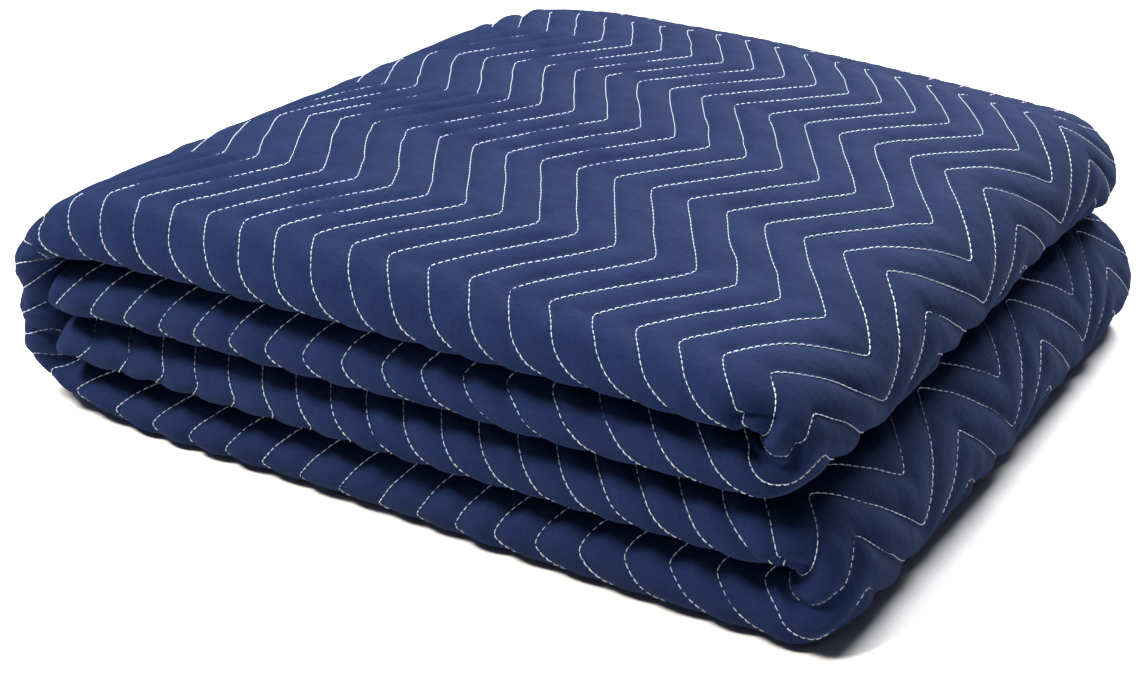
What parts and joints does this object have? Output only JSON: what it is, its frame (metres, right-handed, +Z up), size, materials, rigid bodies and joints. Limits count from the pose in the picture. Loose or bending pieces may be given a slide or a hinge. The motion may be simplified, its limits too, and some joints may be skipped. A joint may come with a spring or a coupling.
{
  "type": "folded moving blanket",
  "caption": "Quilted moving blanket, a padded sheet folded back and forth into a flat stack, for wrapping and cushioning furniture.",
  "frame": {"origin": "centre of the bounding box at the underside, where the folded blanket rests", "axes": "+X to the right along the front, where the four round noses of the folded pad show; +Y to the back, the longest side; +Z up"},
  "size_m": [0.4874, 0.521, 0.1551],
  "materials": {
    "navy_quilted_cloth": "matt navy woven cloth, quilted, both faces alike"
  },
  "bodies": {
    "root": {"moving_blanket": "navy_quilted_cloth"}
  },
  "joints": []
}
